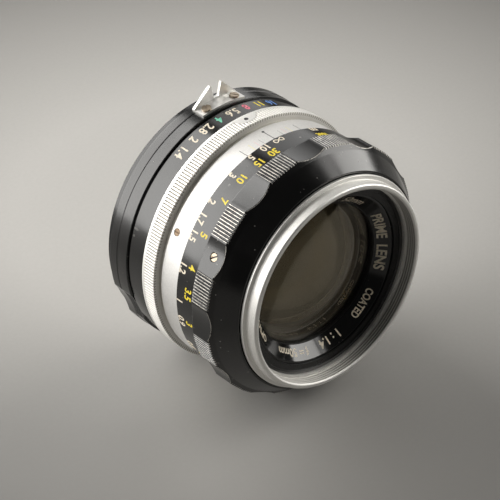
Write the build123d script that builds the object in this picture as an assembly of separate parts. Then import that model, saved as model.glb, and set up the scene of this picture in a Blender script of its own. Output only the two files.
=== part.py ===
from build123d import *
import os
from math import asin, cos, degrees, radians, sin, sqrt

# Prime camera lens, 50 mm f/1.4, manual focus, three-lug bayonet.
#
# Every piece is modelled in the lens's own axes: z runs along the optical axis from the
# mount flange towards the front, y runs up to the index line. place() then lays the lens
# on its side: the front faces -Y, the index points up +Z, and the origin stays at the
# centre of the flange face. Angles count from the index line, anticlockwise as seen from
# the front. Millimetres.

# ---- driving dimensions ----------------------------------------------------------------
RUN_GAP = 0.05            # radial clearance of sliding and turning fits
FLANGE_R = 31.4
FLANGE_T = 2.8
FLANGE_EDGE = 0.4         # chamfer round the flange
THROAT_R = 20.3           # inside of the bayonet tube
SPIGOT_R = 21.9
LUG_R = 23.45
SPIGOT_REAR_Z = -4.2
LUG_ANGLES = (20, 140, 260)
LUG_HALF_DEG = 25.0
LUG_Z = (-2.7, -1.35)
SEAT_INNER_R = 23.7       # the flat seat starts outside the lugs
SEAT_RELIEF = 0.3         # depth of the relief between the spigot and the seat
BARREL_R = 30.4           # outside of the fixed barrel
HELIX_R = 28.5            # outer focusing thread
INNER_HELIX_R = 25.95     # inner focusing thread

APERTURE_RING_R = 33.0
APERTURE_BAND_R = 32.4
APERTURE_RING_Z = (3.0, 15.0)
APERTURE_GROOVE_Z = 9.25
GRIP_RING_R = 33.2
GRIP_RING_Z = (15.1, 19.7)
DEPTH_RING_R = 31.8
DEPTH_RING_Z = (20.9, 26.9)

FOCUS_BAND_R = 32.1
FOCUS_HILL_R = 33.5
FOCUS_Z = (27.0, 45.32)
GRIP_Z = (33.0, 34.0, 39.28, 40.44)   # foot, top edge, front edge and end of the bevel
CONE_FRONT_R = 28.84
SCALLOPS = 12
SCALLOP_FLOOR_R = 32.6
SCALLOP_CUTTER_R = 16.0
RIDGES_PER_HILL = 11
RIDGE_DEPTH = 0.35

FILTER_RING_R = 28.13
FRONT_Z = 49.25
THREAD_R = 25.6           # crest radius of the 52 mm filter thread
THREAD_Z = (46.1, 48.9)
BARREL_BORE_R = 22.6      # bore of the front barrel that takes the name ring
CELL_R = 21.5             # outside of the glass cells

FOCUS_TURN_DEG = 159.0    # infinity to 0.6 m
FOCUS_ADVANCE = 5.05      # travel of the optical block
RING_ADVANCE = 2.5        # travel of the focus ring
APERTURE_TURN_DEG = (-30.0, 22.5)
LEVER_TURN_DEG = 15.0
LEVER_ANGLE = 175.0       # where the stop-down lever stands at rest

IRIS_Z = 19.3             # top of the iris base plate
ACTUATOR_Z = (IRIS_Z + 1.45, IRIS_Z + 2.05)
BLADES = 6
BLADE_IN_R = 11.6
BLADE_OUT_R = 18.4
BLADE_SPAN_DEG = 127.0
BLADE_SWING_DEG = 31.5
BLADE_T = 0.12
BLADE_PITCH = 0.2
BLADE_EAR_R = 0.8
PIVOT_R = 18.9
PIVOT_TO_DRIVE = 2.2
PIN_R = 0.4

# Glass: front vertex, front radius, rear vertex, rear radius, rim radius. A positive
# radius bulges towards the front, a negative one towards the rear.
GLASSES = {
    "element_1": (44.6, 41.5, 39.0, 130.0, 18.9),
    "element_2": (38.5, 23.5, 31.5, 75.0, 15.8),
    "element_3": (31.5, 75.0, 29.5, 15.6, 15.8),
    "element_4": (13.0, -16.4, 11.2, 60.0, 13.0),
    "element_5": (11.2, 60.0, 3.2, -22.0, 13.0),
    "element_6": (2.7, -100.0, -2.1, -34.0, 13.2),
    "element_7": (-2.5, 90.0, -6.1, -110.0, 13.2),
}
HOLLOW_CLEAR_R = {"element_3": 12.5, "element_4": 12.0}   # hollow faces end in a flat rim


# ---- helpers ---------------------------------------------------------------------------
def turned(*points):
    """Solid of revolution about the axis, from (radius, z) corners."""
    outline = make_face(Polyline(*[(r, 0, z) for r, z in points], close=True))
    return revolve(outline, Axis.Z)


def tube(inner_r, outer_r, low, high):
    return turned((inner_r, low), (outer_r, low), (outer_r, high), (inner_r, high))


def at(angle, piece):
    """Turn a piece made along +x to an angle from the index line."""
    return Rot(0, 0, 90 + angle) * piece


def radial_rod(radius, r_in, r_out, z):
    """Rod along +x at height z."""
    rod = Cylinder(radius, r_out - r_in, align=(Align.CENTER, Align.CENTER, Align.MIN))
    return Pos(r_in, 0, z) * Rot(0, 90, 0) * rod


def axial_rod(radius, r, low, high):
    rod = Cylinder(radius, high - low, align=(Align.CENTER, Align.CENTER, Align.MIN))
    return Pos(r, 0, low) * rod


def block(r_in, r_out, width, low, high):
    """Box along +x between two radii, centred on the x axis."""
    size = Box(r_out - r_in, width, high - low)
    return Pos((r_in + r_out) / 2, 0, (low + high) / 2) * size


def sector(inner_r, outer_r, start, end, low, high):
    """Arc-shaped block between two angles from the index line."""
    a, b = radians(90 + start), radians(90 + end)
    middle = (a + b) / 2

    def point(r, angle):
        return (r * cos(angle), r * sin(angle), low)

    edges = [
        ThreePointArc(point(outer_r, a), point(outer_r, middle), point(outer_r, b)),
        Line(point(outer_r, b), point(inner_r, b)),
        ThreePointArc(point(inner_r, b), point(inner_r, middle), point(inner_r, a)),
        Line(point(inner_r, a), point(outer_r, a)),
    ]
    return extrude(make_face(edges), high - low, dir=(0, 0, 1))


def slotted_screw(head_r, head_z, shank_r, length, slot=0.35):
    """Screw along +x with the head's top at x = 0 and a slot across it."""
    head = Pos(-head_z / 2, 0, 0) * Rot(0, 90, 0) * Cylinder(head_r, head_z)
    shank = Pos(-head_z - length / 2, 0, 0) * Rot(0, 90, 0) * Cylinder(shank_r, length)
    return head + shank - Box(head_z, slot, 2.2 * head_r)


def place(shape):
    return Rot(90, 0, 0) * shape


# ---- glass -----------------------------------------------------------------------------
def surface_z(vertex, radius, r):
    """Height of a spherical surface at distance r from the axis."""
    sag = abs(radius) - sqrt(radius * radius - r * r)
    return vertex - sag if radius > 0 else vertex + sag


def glass(name):
    front, front_radius, rear, rear_radius, rim_r = GLASSES[name]
    clear_r = HOLLOW_CLEAR_R.get(name, rim_r)
    front_r = clear_r if front_radius < 0 else rim_r
    rear_r = clear_r if name == "element_3" else rim_r

    def arc(vertex, radius, r):
        half = surface_z(vertex, radius, r / 2)
        end = surface_z(vertex, radius, r)
        return ThreePointArc((0, 0, vertex), (r / 2, 0, half), (r, 0, end)), end

    top, top_z = arc(front, front_radius, front_r)
    bottom, bottom_z = arc(rear, rear_radius, rear_r)
    edges = [top, bottom, Line((0, 0, front), (0, 0, rear))]
    if front_r < rim_r:
        edges.append(Line((front_r, 0, top_z), (rim_r, 0, top_z)))
    if rear_r < rim_r:
        edges.append(Line((rear_r, 0, bottom_z), (rim_r, 0, bottom_z)))
    edges.append(Line((rim_r, 0, top_z), (rim_r, 0, bottom_z)))
    return revolve(make_face(edges), Axis.Z)


# ---- fixed barrel ----------------------------------------------------------------------
MOUNT_SCREW_R = 29.5
MOUNT_SCREW_SINK = 0.1     # the heads lie this far below the seat
MOUNT_HEAD_R, MOUNT_HEAD_T = 1.4, 0.85
MOUNT_SHANK_R, MOUNT_SHANK_LENGTH = 0.6, 4.3
MOUNT_SCREW_ANGLES = [36 + 72 * i for i in range(5)]
KEY_ANGLES = (90, -90)
KEY_SCREW_DEG = 6.0        # each key's two screws stand this far either side of it
KEY_WIDTH = 3.9
KEY_SCREW_R = 27.0
KEY_HOLE_R = 0.6
RECESS_R = (23.3, 28.65)   # recess in the barrel's rear plate for the lever and cam rings
PLATE_Z = (4.4, 6.4)       # rear plate of the barrel
STOP_R = 31.05
STOP_PIN_R = 0.4
STOP_ANGLE = 190.0
DETENT_ANGLE = 180.0
DETENT_Z = 7.2
RIVET_ANGLE = DETENT_ANGLE + 14
SCREW_ANGLES = (60, 180, 300)
DEPTH_SCREW_Z = 22.7
PRESET_LUG_DEG = 5.0
PRESET_LUG_Z = (3.2, 4.1)


def mount_flange():
    body = turned(
        (THROAT_R, SPIGOT_REAR_Z), (SPIGOT_R, SPIGOT_REAR_Z), (SPIGOT_R, SEAT_RELIEF),
        (SEAT_INNER_R, SEAT_RELIEF), (SEAT_INNER_R, 0), (FLANGE_R - FLANGE_EDGE, 0),
        (FLANGE_R, FLANGE_EDGE), (FLANGE_R, FLANGE_T), (THROAT_R, FLANGE_T),
    )
    for middle in LUG_ANGLES:
        body += sector(SPIGOT_R - 0.2, LUG_R, middle - LUG_HALF_DEG, middle + LUG_HALF_DEG, *LUG_Z)
    head_foot = MOUNT_SCREW_SINK + MOUNT_HEAD_T
    for angle in MOUNT_SCREW_ANGLES:
        sink = axial_rod(MOUNT_HEAD_R + RUN_GAP, MOUNT_SCREW_R, -0.1, head_foot)
        hole = axial_rod(MOUNT_SHANK_R + RUN_GAP, MOUNT_SCREW_R, 0, FLANGE_T)
        body -= at(angle, sink + hole)
    lock_notch = Pos(27.3, 0, 0.6) * Box(3.4, 2.2, 1.2)
    return body - at(-90, lock_notch)


def mount_screws():
    upright = slotted_screw(MOUNT_HEAD_R, MOUNT_HEAD_T, MOUNT_SHANK_R, MOUNT_SHANK_LENGTH)
    screw = Pos(MOUNT_SCREW_R, 0, MOUNT_SCREW_SINK) * Rot(0, 90, 0) * upright
    return [at(angle, screw) for angle in MOUNT_SCREW_ANGLES]


def rear_baffle():
    """Thin ring across the bayonet tube, slotted for the stop-down lever's tab."""
    ring = tube(15.7, THROAT_R, -3.6, -2.8)
    spare = 10   # degrees of free slot at both ends of the tab's travel
    slot = sector(17.9, 19.8, LEVER_ANGLE - spare, LEVER_ANGLE + LEVER_TURN_DEG + spare, -4, -2)
    return ring - slot


def preset_slot():
    """Opening in the barrel's rim through which the cam ring's lug reaches the aperture ring."""
    low = PRESET_LUG_DEG / 2 - APERTURE_TURN_DEG[0] + 1.5
    high = PRESET_LUG_DEG / 2 + APERTURE_TURN_DEG[1] + 1.5
    return sector(RECESS_R[1] - 0.5, BARREL_R + 0.5, -low, high,
                  PRESET_LUG_Z[0] - 0.1, PRESET_LUG_Z[1] + 0.1)


def fixed_barrel():
    bore = HELIX_R + RUN_GAP
    body = turned(
        (RECESS_R[1], FLANGE_T), (BARREL_R, FLANGE_T), (BARREL_R, 26.9), (bore, 26.9),
        (bore, PLATE_Z[1]), (RECESS_R[0], PLATE_Z[1]), (RECESS_R[0], PLATE_Z[0]),
        (RECESS_R[1], PLATE_Z[0]),
    )
    body += tube(BARREL_R - 0.2, 31.2, GRIP_RING_Z[1], DEPTH_RING_Z[0])
    for angle in MOUNT_SCREW_ANGLES:
        body -= at(angle, axial_rod(MOUNT_SHANK_R, MOUNT_SCREW_R, FLANGE_T - 0.1, 5.3))
    body -= preset_slot()
    for angle in KEY_ANGLES:
        for side in (-1, 1):
            hole = axial_rod(KEY_HOLE_R, KEY_SCREW_R, 5.0, PLATE_Z[1] + 0.1)
            body -= at(angle + side * KEY_SCREW_DEG, hole)
    for angle in SCREW_ANGLES:
        body -= at(angle, radial_rod(0.5, 29.3, BARREL_R + 0.2, DEPTH_SCREW_Z))
    body -= at(DETENT_ANGLE, radial_rod(0.65, 28.0, BARREL_R + 0.2, DETENT_Z))
    body -= at(RIVET_ANGLE, radial_rod(0.5, 28.0, 29.8, DETENT_Z))
    return body


def knurled_grip_ring():
    low, high = GRIP_RING_Z
    body = turned(
        (BARREL_R, low), (32.9, low), (GRIP_RING_R, low + 0.9), (GRIP_RING_R, high - 0.15),
        (GRIP_RING_R - 0.15, high), (BARREL_R, high),
    )
    # flat milled at the index dot, so that the knurl runs out round it
    flat = Pos(GRIP_RING_R + 0.42, 0, low) * Rot(0, -7, 0) * Box(1.2, 14, 7)
    return body - at(0, flat)


def depth_scale_ring():
    body = tube(BARREL_R, DEPTH_RING_R, *DEPTH_RING_Z)
    body = body - tube(DEPTH_RING_R - 0.12, DEPTH_RING_R + 1, DEPTH_RING_Z[0] - 1,
                       DEPTH_RING_Z[0] + 0.12)
    for angle in SCREW_ANGLES:
        hole = radial_rod(0.5, 30, 32, DEPTH_SCREW_Z)
        sink = radial_rod(0.9, DEPTH_RING_R - 0.6, 32.5, DEPTH_SCREW_Z)
        body -= at(angle, hole + sink)
    return body - at(STOP_ANGLE, axial_rod(STOP_PIN_R, STOP_R, 24.0, 27.0))


def depth_ring_screws():
    screw = Pos(DEPTH_RING_R - 0.05, 0, DEPTH_SCREW_Z) * slotted_screw(0.85, 0.5, 0.45, 1.8, 0.3)
    return [at(angle, screw) for angle in SCREW_ANGLES]


def focus_stop_pin():
    return at(STOP_ANGLE, axial_rod(STOP_PIN_R, STOP_R, 24.0, 29.8))


def helicoid_keys():
    foot = block(23.6, 28.3, 9.0, PLATE_Z[1], PLATE_Z[1] + 1.0)
    foot = foot & tube(23.6, 28.3, 0, 20)
    bar = block(23.6, 25.6, KEY_WIDTH, PLATE_Z[1], 21.0)
    keys = []
    for angle in KEY_ANGLES:
        key = at(angle, foot + bar)
        for side in (-1, 1):
            key -= at(angle + side * KEY_SCREW_DEG, axial_rod(KEY_HOLE_R, KEY_SCREW_R, 5, 8))
        keys.append(key)
    return keys


def key_screws():
    head_up = Pos(KEY_SCREW_R, 0, PLATE_Z[1] + 1.5) * Rot(0, -90, 0)
    screw = head_up * slotted_screw(0.95, 0.5, 0.55, 2.0, 0.3)
    return [
        at(angle + side * KEY_SCREW_DEG, screw)
        for angle in KEY_ANGLES
        for side in (-1, 1)
    ]


def click_ball():
    return at(DETENT_ANGLE, Pos(BARREL_R - 0.65, 0, DETENT_Z) * Sphere(0.6))


def click_spring():
    """Leaf spring inside the barrel: it presses the ball outwards from one screwed end."""
    leaf = sector(28.1, 28.35, DETENT_ANGLE - 3, DETENT_ANGLE + 18, DETENT_Z - 0.6, DETENT_Z + 0.6)
    tip = at(DETENT_ANGLE, radial_rod(0.4, 28.2, 29.17, DETENT_Z))
    rivet = at(RIVET_ANGLE, radial_rod(0.48, 28.0, 29.7, DETENT_Z))
    return leaf + tip + rivet


def return_spring():
    """Torsion spring of the stop-down lever: two turns of wire round the rear cell."""
    path = Helix(pitch=0.7, height=1.4, radius=21.6, center=(0, 0, 4.5))
    section = Plane(path @ 0, z_dir=path % 0) * Circle(0.22)
    return sweep(section, path=path)


# ---- aperture ring ---------------------------------------------------------------------
FORK_Z = (4.5, 8.6)
FORK_WIDTH = 13.2
FORK_T = 0.8
FORK_IN_R = APERTURE_RING_R - 0.35
FORK_HEAD_T = 0.45        # the screw heads stand this far above the base plate
FORK_SCREW_ANGLE = 7.6
FORK_SCREW_Z = 7.2
PRONG_TOP = 37.35
PRONG_SHIFT = 0.4         # the gap between the prongs lies this far off the fork's middle
FINGER_ANGLES = (112, -112)
FINGER_CUTTER_R = 30.0
FINGER_FLOOR_R = 32.1


def aperture_ring():
    low, high = APERTURE_RING_Z
    bore = BARREL_R + RUN_GAP
    body = turned(
        (bore, low), (APERTURE_RING_R - 0.3, low), (APERTURE_RING_R, low + 0.3),
        (APERTURE_RING_R, 5.5), (APERTURE_RING_R - 0.12, 5.6),
        (APERTURE_RING_R - 0.12, APERTURE_GROOVE_Z - 0.2), (APERTURE_BAND_R - 0.3, APERTURE_GROOVE_Z),
        (APERTURE_BAND_R, APERTURE_GROOVE_Z + 0.3), (APERTURE_BAND_R, high - 0.2),
        (APERTURE_BAND_R - 0.2, high), (bore, high),
    )
    for angle in FINGER_ANGLES:
        cutter = Cylinder(FINGER_CUTTER_R, APERTURE_GROOVE_Z - low)
        middle = (low + APERTURE_GROOVE_Z) / 2
        body -= at(angle, Pos(FINGER_FLOOR_R + FINGER_CUTTER_R, 0, middle) * cutter)
    body -= sector(FORK_IN_R, 34, -13, 13, *FORK_Z)
    for side in (-1, 1):
        body -= at(side * FORK_SCREW_ANGLE, radial_rod(0.6, 31.0, 34, FORK_SCREW_Z))
    notch = sector(bore - 1, 31.4, -PRESET_LUG_DEG / 2 - 0.2, PRESET_LUG_DEG / 2 + 0.2,
                   low - 1, PRESET_LUG_Z[1] + 0.1)
    return body - notch


def preset_ring():
    """Cam ring round the stop-down lever, driven by the aperture ring through its lug."""
    ring = tube(23.45, RECESS_R[1] - RUN_GAP, 3.0, 4.2)
    lug = sector(RECESS_R[1] - 0.5, 31.2, -PRESET_LUG_DEG / 2, PRESET_LUG_DEG / 2, *PRESET_LUG_Z)
    cam = sector(22.0, 25.2, 60, 150, 2, 5) & Pos(1.2, 0, 0) * tube(23.6, 25.2, 2, 5)
    return ring + lug - cam


def coupling_fork():
    """Base plate bent over the ring, with two prongs standing at its rear edge."""
    half = FORK_WIDTH / 2
    half_deg = degrees(asin(half / APERTURE_RING_R))
    base = sector(FORK_IN_R, FORK_IN_R + FORK_T, -half_deg, half_deg, *FORK_Z)
    foot, valley, middle = FORK_IN_R + 0.1, FORK_IN_R + FORK_T + 0.3, PRONG_SHIFT
    outline = [
        (-half, foot + 0.2), (middle - 1.95, PRONG_TOP), (middle - 1.6, PRONG_TOP),
        (middle - 0.75, valley), (middle + 0.75, valley), (middle + 1.6, PRONG_TOP),
        (middle + 1.95, PRONG_TOP), (half, foot + 0.2), (half - 1.5, foot), (1.5 - half, foot),
    ]
    face = make_face(Polyline(*[(x, y, FORK_Z[0]) for x, y in outline], close=True))
    fork = base + (extrude(face, FORK_T, dir=(0, 0, 1)) - tube(0, FORK_IN_R, 0, 20))
    for side in (-1, 1):
        fork -= at(side * FORK_SCREW_ANGLE, radial_rod(0.65, 31.5, 35, FORK_SCREW_Z))
    return fork


def fork_screws():
    top = Pos(FORK_IN_R + FORK_T + FORK_HEAD_T, 0, FORK_SCREW_Z)
    screw = slotted_screw(1.2, FORK_HEAD_T, 0.55, 2.3)
    slot_turn = {-1: 35, 1: -30}
    return [
        at(side * FORK_SCREW_ANGLE, top * Rot(turn, 0, 0) * screw)
        for side, turn in slot_turn.items()
    ]


# ---- focusing --------------------------------------------------------------------------
COLLAR_R = 30.0
COLLAR_Z = (27.4, 39.0)
SET_SCREW_Z = 36.8
SET_SCREW_R = 1.0
SET_SCREW_TIP_R = 0.3
HELIX_REAR_Z = 9.0


def centre_helicoid():
    """Brass sleeve with the outer and inner focusing threads, and the collar of the focus ring."""
    inner = INNER_HELIX_R + RUN_GAP
    low, high = COLLAR_Z
    groove, groove_r = SET_SCREW_Z, COLLAR_R - 0.8
    return turned(
        (inner, HELIX_REAR_Z), (HELIX_R, HELIX_REAR_Z), (HELIX_R, low), (COLLAR_R, low),
        (COLLAR_R, groove - 0.9), (groove_r, groove - 0.4), (groove_r, groove + 0.4),
        (COLLAR_R, groove + 0.9), (COLLAR_R, high), (27.2, high), (27.2, 33.0), (inner, 33.0),
    )


def focus_ring():
    foot, top, crest, bevel = GRIP_Z
    rear, front = FOCUS_Z
    bore = COLLAR_R + RUN_GAP
    body = turned(
        (bore, rear), (FOCUS_BAND_R - 0.1, rear), (FOCUS_BAND_R, rear + 0.1), (FOCUS_BAND_R, foot),
        (FOCUS_HILL_R, top), (FOCUS_HILL_R, crest), (FOCUS_BAND_R, bevel), (CONE_FRONT_R, front),
        (28.35, front), (28.35, 44.9), (27.35, 44.2), (27.35, 43.0), (29.4, 40.2), (29.4, 39.2),
        (bore, 39.2),
    )
    cutter = Cylinder(SCALLOP_CUTTER_R, 14, align=(Align.CENTER, Align.CENTER, Align.MIN))
    scallop = Pos(SCALLOP_FLOOR_R + SCALLOP_CUTTER_R, 0, foot - 0.6) * cutter
    pitch = 360 / SCALLOPS
    for i in range(SCALLOPS):
        body -= at(i * pitch, scallop)
    ridge_pitch = pitch / 2 / RIDGES_PER_HILL
    side = RIDGE_DEPTH * sqrt(2)
    vee = Pos(FOCUS_HILL_R, 0, (top + crest) / 2) * Rot(0, 0, 45) * Box(side, side, 12)
    vee = vee & tube(30, 35, foot + 0.5, bevel)
    cuts = [
        at(i * pitch + pitch / 2 + (k - (RIDGES_PER_HILL - 2) / 2) * ridge_pitch, vee)
        for i in range(SCALLOPS)
        for k in range(RIDGES_PER_HILL - 1)
    ]
    body = body - Compound(children=[c.solid() for c in cuts])
    for angle in SCREW_ANGLES:
        body -= at(angle, radial_rod(SET_SCREW_R + RUN_GAP, 29, 34, SET_SCREW_Z))
    stop_half = degrees(STOP_PIN_R / STOP_R) + 0.15
    stop_groove = sector(STOP_R - 0.45, STOP_R + 0.45, STOP_ANGLE - stop_half,
                         STOP_ANGLE + FOCUS_TURN_DEG + stop_half, rear - 0.5, 30.3)
    return body - stop_groove


def focus_set_screws():
    head = SCALLOP_FLOOR_R - 0.1
    thread = radial_rod(SET_SCREW_R, COLLAR_R + 2 * RUN_GAP, head, SET_SCREW_Z)
    tip = radial_rod(SET_SCREW_TIP_R, COLLAR_R - 0.65, COLLAR_R + 0.5, SET_SCREW_Z)
    slot = Pos(head, 0, SET_SCREW_Z) * Rot(38, 0, 0) * Box(0.9, 0.4, 3)
    screw = thread + tip - slot
    return [at(angle, screw) for angle in SCREW_ANGLES]


# ---- optical block ---------------------------------------------------------------------
def inner_helicoid():
    body = tube(23.4, INNER_HELIX_R, HELIX_REAR_Z, 34.0)
    for angle in KEY_ANGLES:
        body -= at(angle, block(22, 27, KEY_WIDTH + 0.2, HELIX_REAR_Z - 1, 27))
    return body


def front_barrel():
    return turned(
        (25.2, 34.0), (26.9, 34.0), (26.9, 45.0), (24.2, 45.0), (24.2, 44.7),
        (BARREL_BORE_R, 44.7), (BARREL_BORE_R, 41.25), (CELL_R, 41.25), (CELL_R, 37.0),
        (23.0, 37.0), (23.0, 39.6), (25.2, 39.6),
    )


def filter_ring():
    low, high = THREAD_Z
    return turned(
        (25.06, 45.0), (26.9, 45.0), (26.9, 45.45), (FILTER_RING_R, 45.45), (FILTER_RING_R, 46.1),
        (28.03, 46.2), (27.1, 46.25), (27.0, 48.9), (26.7, 49.2), (26.1, FRONT_Z),
        (25.8, 49.1), (THREAD_R, high), (THREAD_R, low), (25.06, low),
    )


def name_ring():
    return turned((18.9, 41.35), (18.95, 41.25), (22.55, 41.25), (22.55, 44.35), (21.95, 44.4))


def front_retaining_ring():
    return tube(18.55, 20.0, 39.2, 41.2) - tube(18.0, 18.95, 39.0, 40.25) - glass("element_1")


def front_cell():
    body = turned(
        (12.9, 22.4), (21.2, 22.4), (21.2, 23.4), (18.6, 24.4), (18.6, 35.5), (CELL_R, 36.6),
        (CELL_R, 41.2), (20.0, 41.2), (20.0, 39.2), (18.9, 39.2), (18.9, 36.9), (16.4, 36.9),
        (16.4, 31.9), (15.8, 31.9), (15.8, 22.9), (12.9, 22.9),
    )
    return body - glass("element_1") - glass("element_3")


def front_doublet_ring():
    return tube(14.9, 16.4, 32.0, 34.8) - glass("element_2")


def iris_housing():
    z = IRIS_Z
    body = turned(
        (12.0, z - 0.7), (22.35, z - 0.7), (22.35, 22.4), (21.2, 22.4), (21.2, 21.6), (21.75, 21.6),
        (21.75, z), (12.0, z),
    )
    for k in range(BLADES):
        body -= at(360 / BLADES * k, axial_rod(PIN_R + 0.06, PIVOT_R, z - 1, z + 0.1))
    # window for the tab of the slotted ring
    low, high = ACTUATOR_Z
    return body - sector(21, 23, LEVER_ANGLE - 4, LEVER_ANGLE + LEVER_TURN_DEG + 4, low - 0.1, high + 0.3)


def iris_cover():
    return tube(12.9, 21.2, 21.7, 22.4)


def blade_pin(swing_deg, at_drive):
    """Place of a blade's pin at a swing, in the lens's x, y with the pivot on +x."""
    if not at_drive:
        return PIVOT_R, 0.0
    a = radians(-90 + swing_deg)
    return PIVOT_R + PIVOT_TO_DRIVE * cos(a), PIVOT_TO_DRIVE * sin(a)


def iris_actuator():
    """Slotted ring: each slot follows the path of a blade's drive pin, so the ratio is constant."""
    low, high = ACTUATOR_Z
    ring = tube(17.7, 21.1, low, high)
    ratio = BLADE_SWING_DEG / LEVER_TURN_DEG
    half = PIN_R + 0.07
    spare = 1.7   # the slot runs this many degrees past the pin's path at both ends
    steps = [-spare + (LEVER_TURN_DEG + 2 * spare) * i / 8 for i in range(9)]

    def centre(turn):
        x, y = blade_pin(turn * ratio, True)
        a = radians(-turn)
        return Vector(x * cos(a) - y * sin(a), x * sin(a) + y * cos(a), 0)

    sides = {1: [], -1: []}
    for turn in steps:
        along = (centre(turn + 0.01) - centre(turn - 0.01)).normalized()
        across = Vector(-along.Y, along.X, 0)
        for side in sides:
            sides[side].append(centre(turn) + across * (side * half) + Vector(0, 0, low - 0.1))
    left, right = Spline(*sides[1]), Spline(*sides[-1])
    outline = make_face([left, right, Line(left @ 0, right @ 0), Line(left @ 1, right @ 1)])
    slot = extrude(outline, 0.8, dir=(0, 0, 1))
    for k in range(BLADES):
        ring -= at(360 / BLADES * k, slot)
    return ring + sector(20.8, 23.1, LEVER_ANGLE - 1.5, LEVER_ANGLE + 1.5, low, high)


def iris_blade(k):
    low = IRIS_Z + 0.1 + BLADE_PITCH * k
    body = sector(BLADE_IN_R, BLADE_OUT_R, -90, BLADE_SPAN_DEG - 90, low, low + BLADE_T)
    drive_x, drive_y = blade_pin(0, True)
    ear = axial_rod(BLADE_EAR_R, PIVOT_R, low, low + BLADE_T)
    ear += Pos(0, drive_y, 0) * axial_rod(BLADE_EAR_R, drive_x, low, low + BLADE_T)
    ear += Pos(PIVOT_R - 0.3, drive_y / 2, low + BLADE_T / 2) * Box(2.2, -drive_y, BLADE_T)
    pivot = axial_rod(PIN_R, PIVOT_R, IRIS_Z - 0.65, low + BLADE_T)
    drive = Pos(0, drive_y, 0) * axial_rod(PIN_R, drive_x, low, ACTUATOR_Z[1])
    return at(360 / BLADES * k, body + ear + pivot + drive)


def rear_cell():
    body = turned(
        (13.9, 18.6), (20.5, 18.6), (20.5, 17.6), (16.4, 16.6), (16.4, 0.5), (15.2, -0.6),
        (15.2, -6.8), (13.2, -6.8), (13.2, 5.9), (12.1, 5.9), (12.1, 7.45), (13.0, 7.45),
        (13.0, 18.22), (13.9, 18.22),
    )
    return body - glass("element_5")


def rear_doublet_ring():
    return tube(12.1, 13.9, 18.22, 18.6) - glass("element_4")


def rear_spacer_front():
    return tube(12.3, 13.2, 2.6, 5.9) - glass("element_6") - glass("element_5")


def rear_spacer_back():
    spacer = tube(12.3, 13.2, -4.0, 2.0)
    return spacer - glass("element_6") - glass("element_7")


def rear_retaining_ring():
    return tube(12.3, 13.2, -6.6, -4.4) - glass("element_7")


def stop_down_lever():
    """Lever ring: a tab reaches back through the bayonet, a fork reaches forward to the iris."""
    ring = tube(20.5, 23.2, 2.95, 4.2)
    low, high = LEVER_ANGLE - 3, LEVER_ANGLE + 3
    tab = sector(18.3, 19.3, low, high, -5.6, 4.2) + sector(18.3, 20.7, low, high, 2.95, 4.2)
    fork = sector(22.5, 23.15, LEVER_ANGLE + 1.8, LEVER_ANGLE + 5, 3.5, 27.6)
    fork += sector(22.5, 23.15, LEVER_ANGLE - 5, LEVER_ANGLE - 1.8, 3.5, 27.6)
    return ring + tab + fork


# ---- output ----------------------------------------------------------------------------
def export(name, shape):
    pieces = shape if isinstance(shape, list) else [shape]
    solids = [s for piece in pieces for s in piece.solids()]
    placed = [place(s) for s in solids]
    result = placed[0] if len(placed) == 1 else Compound(children=placed)
    result.label = name
    export_step(result, f"parts/{name}.step")


def main():
    os.makedirs("parts", exist_ok=True)
    makers = [
        mount_flange, mount_screws, rear_baffle, fixed_barrel, knurled_grip_ring,
        depth_scale_ring, depth_ring_screws, focus_stop_pin, helicoid_keys, key_screws,
        click_ball, click_spring, return_spring, aperture_ring, preset_ring, coupling_fork,
        fork_screws, centre_helicoid, focus_ring, focus_set_screws, inner_helicoid,
        front_barrel, filter_ring, name_ring, front_retaining_ring, front_cell,
        front_doublet_ring, iris_housing, iris_cover, iris_actuator, rear_cell,
        rear_doublet_ring, rear_spacer_front, rear_spacer_back, rear_retaining_ring,
        stop_down_lever,
    ]
    for maker in makers:
        export(maker.__name__, maker())
    for name in GLASSES:
        export(name, glass(name))
    for k in range(BLADES):
        export(f"iris_blade_{k + 1}", iris_blade(k))


main()
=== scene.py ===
import math

import bmesh
import bpy
import numpy as np
from mathutils import Matrix, Vector


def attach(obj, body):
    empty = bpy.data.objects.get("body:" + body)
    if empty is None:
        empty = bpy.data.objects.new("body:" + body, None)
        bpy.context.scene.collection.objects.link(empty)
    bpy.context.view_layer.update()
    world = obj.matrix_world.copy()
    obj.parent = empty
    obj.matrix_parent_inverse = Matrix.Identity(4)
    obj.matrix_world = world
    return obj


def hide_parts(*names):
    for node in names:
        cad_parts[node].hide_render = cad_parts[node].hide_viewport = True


# Prime camera lens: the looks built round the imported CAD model. The front faces -Y and the
# index line points up +Z. Along the lens a place is given as an angle in degrees from the
# index line, positive towards -X, a radius r and a distance z in front of the mount flange,
# in millimetres, as in the CAD model. Meshes are in metres.

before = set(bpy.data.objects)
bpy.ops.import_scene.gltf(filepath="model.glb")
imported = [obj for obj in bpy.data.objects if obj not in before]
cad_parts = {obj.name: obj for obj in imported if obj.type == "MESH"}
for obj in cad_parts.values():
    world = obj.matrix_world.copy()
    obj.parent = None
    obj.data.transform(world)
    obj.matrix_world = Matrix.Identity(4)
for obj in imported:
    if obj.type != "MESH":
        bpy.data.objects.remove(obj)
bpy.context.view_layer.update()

MM = 0.001
SCREW_ANGLES = (60, 180, 300)
RING_STEP = 0.75     # degrees between the points of a plain ring
FINE_STEP = 0.6      # the same for the rings at the front
CAP_SHARE = 0.73     # height of a capital as a share of the letter size
LONG_EDGE = 0.6      # longer edges of the letters are split, so that they follow a curve
BOLD = 0.075         # how far the outlines of the letters on the barrel are moved outwards
NO_CUT = 99.0        # a radius outside everything


# ---- geometry --------------------------------------------------------------------------
def spot(angle, r, z):
    """Row-frame points, in metres, from angle in degrees, r and z in mm."""
    a = np.radians(angle)
    x, y, up = np.broadcast_arrays(-r * np.sin(a), -np.asarray(z, float), r * np.cos(a))
    return np.stack([x, y, up], -1) * MM


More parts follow.
